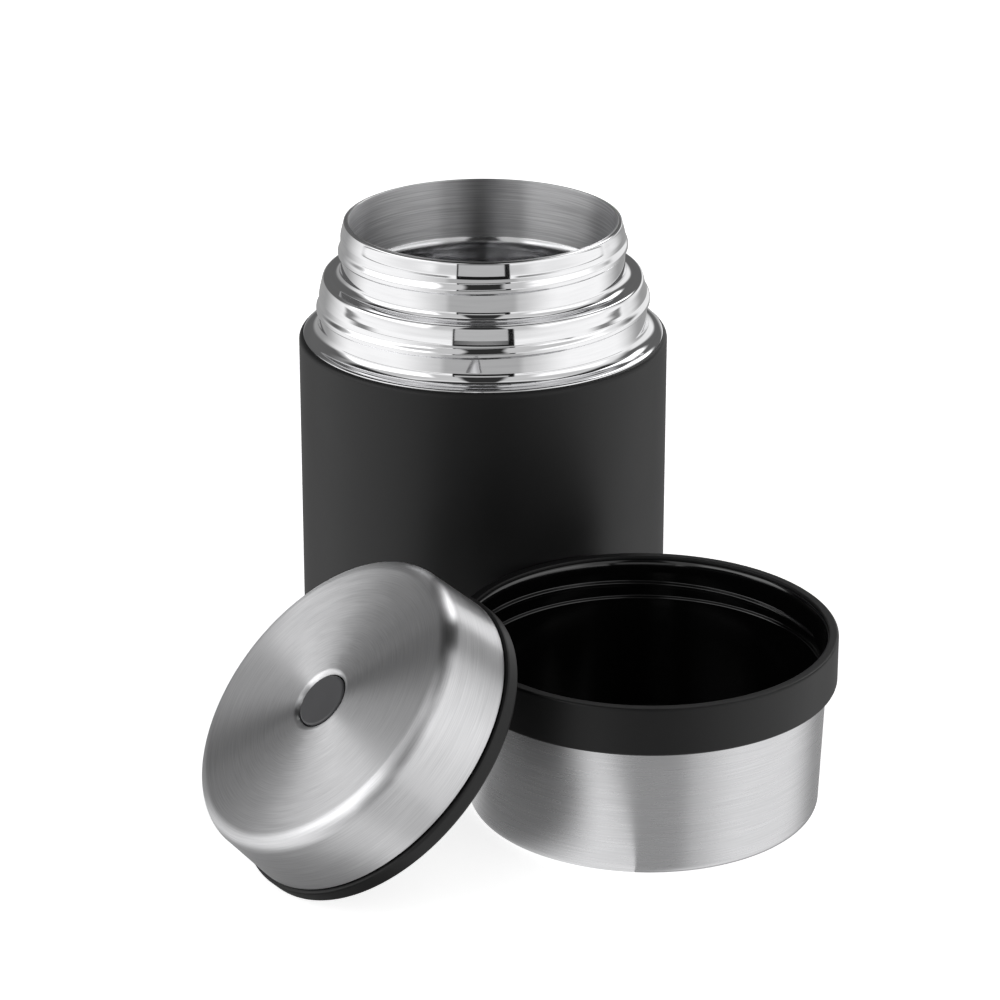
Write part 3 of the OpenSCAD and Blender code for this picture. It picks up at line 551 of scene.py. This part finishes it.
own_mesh(spring)

# Table and light
# A white table runs out on all sides under a white light tent. The tent is open in front, where
# the camera looks in, and its gap shows as a grey strip in the polished neck.
table = bpy.data.meshes.new("table_top")
half_side, cut = 4.0, 24
row = 2 * cut + 1
table.from_pydata(
    [(x * half_side / cut, y * half_side / cut, 0)
     for y in range(-cut, cut + 1) for x in range(-cut, cut + 1)],
    [],
    [(i + j * row, i + 1 + j * row, i + 1 + (j + 1) * row, i + (j + 1) * row)
     for j in range(row - 1) for i in range(row - 1)])
table_top = bpy.data.objects.new("table_top", table)
table_top.location = (0, 0, -0.0002)
bpy.context.scene.collection.objects.link(table_top)
white, _, white_shader = finish("white_table")
white_shader.inputs["Base Color"].default_value = (0.9, 0.9, 0.9, 1)
white_shader.inputs["Roughness"].default_value = 0.9
white_shader.inputs["Specular IOR Level"].default_value = 0.1
white_shader.inputs["Emission Color"].default_value = (1, 1, 1, 1)
white_shader.inputs["Emission Strength"].default_value = 0.78
table.materials.append(white)
table_top.visible_glossy = False

# Painted shadow on the table as the steel sees it: a glowing sheet, seen only in reflections, dark under the
# leaning lid where the lid's shade falls
painted_shadow_mesh = bpy.data.meshes.new("table_shade")
shade_x, shade_y, corners = 0.076, 0.068, 60
rounds = [(0, 0, 0)] + [
    (shade_x * math.cos(math.tau * i / corners), shade_y * math.sin(math.tau * i / corners), 0)
    for i in range(corners)]
painted_shadow_mesh.from_pydata(rounds, [], [(0, i + 1, (i + 1) % corners + 1) for i in range(corners)])
table_shade = bpy.data.objects.new("table_shade", painted_shadow_mesh)
table_shade.location = (-0.038, -0.133, -0.0001)
bpy.context.scene.collection.objects.link(table_shade)
dim, dim_tree, dim_shader = finish("table_in_shade")
from_lid = put(dim_tree, "ShaderNodeVectorMath", {0: put(dim_tree, "ShaderNodeTexCoord").outputs["Object"]},
               operation="LENGTH")
# Painted shade: the sheet's glow is dark near its middle under the lid and full white towards its rim
paler = put(dim_tree, "ShaderNodeMapRange",
            {"Value": from_lid.outputs["Value"], "From Min": 0.038, "From Max": 0.062,
             "To Min": 0.22, "To Max": 1.1}, interpolation_type="SMOOTHSTEP")
paler = put(dim_tree, "ShaderNodeCombineColor", {i: paler.outputs[0] for i in range(3)})
dim_tree.links.new(paler.outputs[0], dim_shader.inputs["Emission Color"])
dim_shader.inputs["Emission Strength"].default_value = 1.0
dim_shader.inputs["Base Color"].default_value = (0, 0, 0, 1)
dim_shader.inputs["Specular IOR Level"].default_value = 0.0
painted_shadow_mesh.materials.append(dim)
table_shade.visible_camera = table_shade.visible_diffuse = table_shade.visible_shadow = False

tent = bpy.data.worlds.new("light_tent")
bpy.context.scene.world = tent
tent.use_nodes = True
sky = tent.node_tree
glow = sky.nodes["Background"]
look = put(sky, "ShaderNodeSeparateXYZ", {0: put(sky, "ShaderNodeTexCoord").outputs["Generated"]})


def reckoned(operation, *values):
    """The result of one sum of the tent's light."""
    return put(sky, "ShaderNodeMath", dict(enumerate(values)), operation=operation).outputs[0]


# Angles in degrees: side is 0 in front and positive on the right, away is side without its sign
side_deg = reckoned("DEGREES", reckoned("ARCTAN2", look.outputs["X"],
                                        reckoned("MULTIPLY", look.outputs["Y"], -1.0)))
away_deg = reckoned("ABSOLUTE", side_deg)
up_deg = reckoned("DEGREES", reckoned("ARCSINE", look.outputs["Z"]))


def within(value, low, high, soft):
    """1 between two angles and 0 outside them, with soft edges."""
    up, down = (
        put(sky, "ShaderNodeMapRange", {"Value": value, "From Min": edge - soft, "From Max": edge + soft,
                                        "To Min": start, "To Max": 1.0 - start},
            interpolation_type="SMOOTHSTEP").outputs[0]
        for edge, start in ((low, 0.0), (high, 1.0)))
    return reckoned("MULTIPLY", up, down)


level = put(sky, "ShaderNodeValue")
level.outputs[0].default_value = 1.1
level = level.outputs[0]
for angle, side, side_soft, up, up_soft, shade in (
        (away_deg, (0, 100), 14, (6, 62), 6, 0.62),        # upper walls of the tent
        (side_deg, (-108, -38), 5, (9, 38), 4, 1.9),       # the lamp behind its left wall
        (side_deg, (38, 96), 8, (9, 34), 6, 1.4),          # the weaker one behind its right wall
        (away_deg, (124, 200), 20, (-99, 40), 8, 0.36),    # its back, darker over the table
        (away_deg, (112, 200), 12, (8, 36), 6, 0.13),
        (away_deg, (104, 200), 12, (38, 99), 6, 0.03),
        (side_deg, (140, 168), 5, (28, 52), 4, 3.0),       # the lamp over the back, on the right
        (side_deg, (118, 168), 6, (-8, 14), 4, 0.95),      # and the patch that it lights below
        (away_deg, (-9, 200), 1, (68, 99), 5, 0.03),       # the open top
        (away_deg, (-9, 44), 22, (-99, -10), 3, 0.60),     # the table's front edge
        (side_deg, (-28, 27), 3, (-99, -10), 3, 0.46),
        (away_deg, (-9, 16), 3, (17, 68), 2, 0.03),        # the opening with the camera
        (away_deg, (26, 110), 3, (-5, -2.5), 1, 0.25),     # the seam of the tent
        (side_deg, (-20.4, 21.4), 0.4, (-12, 18), 0.6, 0.01),   # the frame of the opening
        (side_deg, (-19.1, 17.3), 0.4, (3, 16), 0.8, 0.52)):    # and the grey card in it
    mask = reckoned("MULTIPLY", within(angle, *side, side_soft), within(up_deg, *up, up_soft))
    level = put(sky, "ShaderNodeMix", {"Factor": mask, "A": level, "B": shade},
                data_type="FLOAT").outputs["Result"]
sky.links.new(level, glow.inputs["Strength"])
glow.inputs["Color"].default_value = (1, 1, 1, 1)

bpy.context.scene.view_settings.view_transform = "Standard"
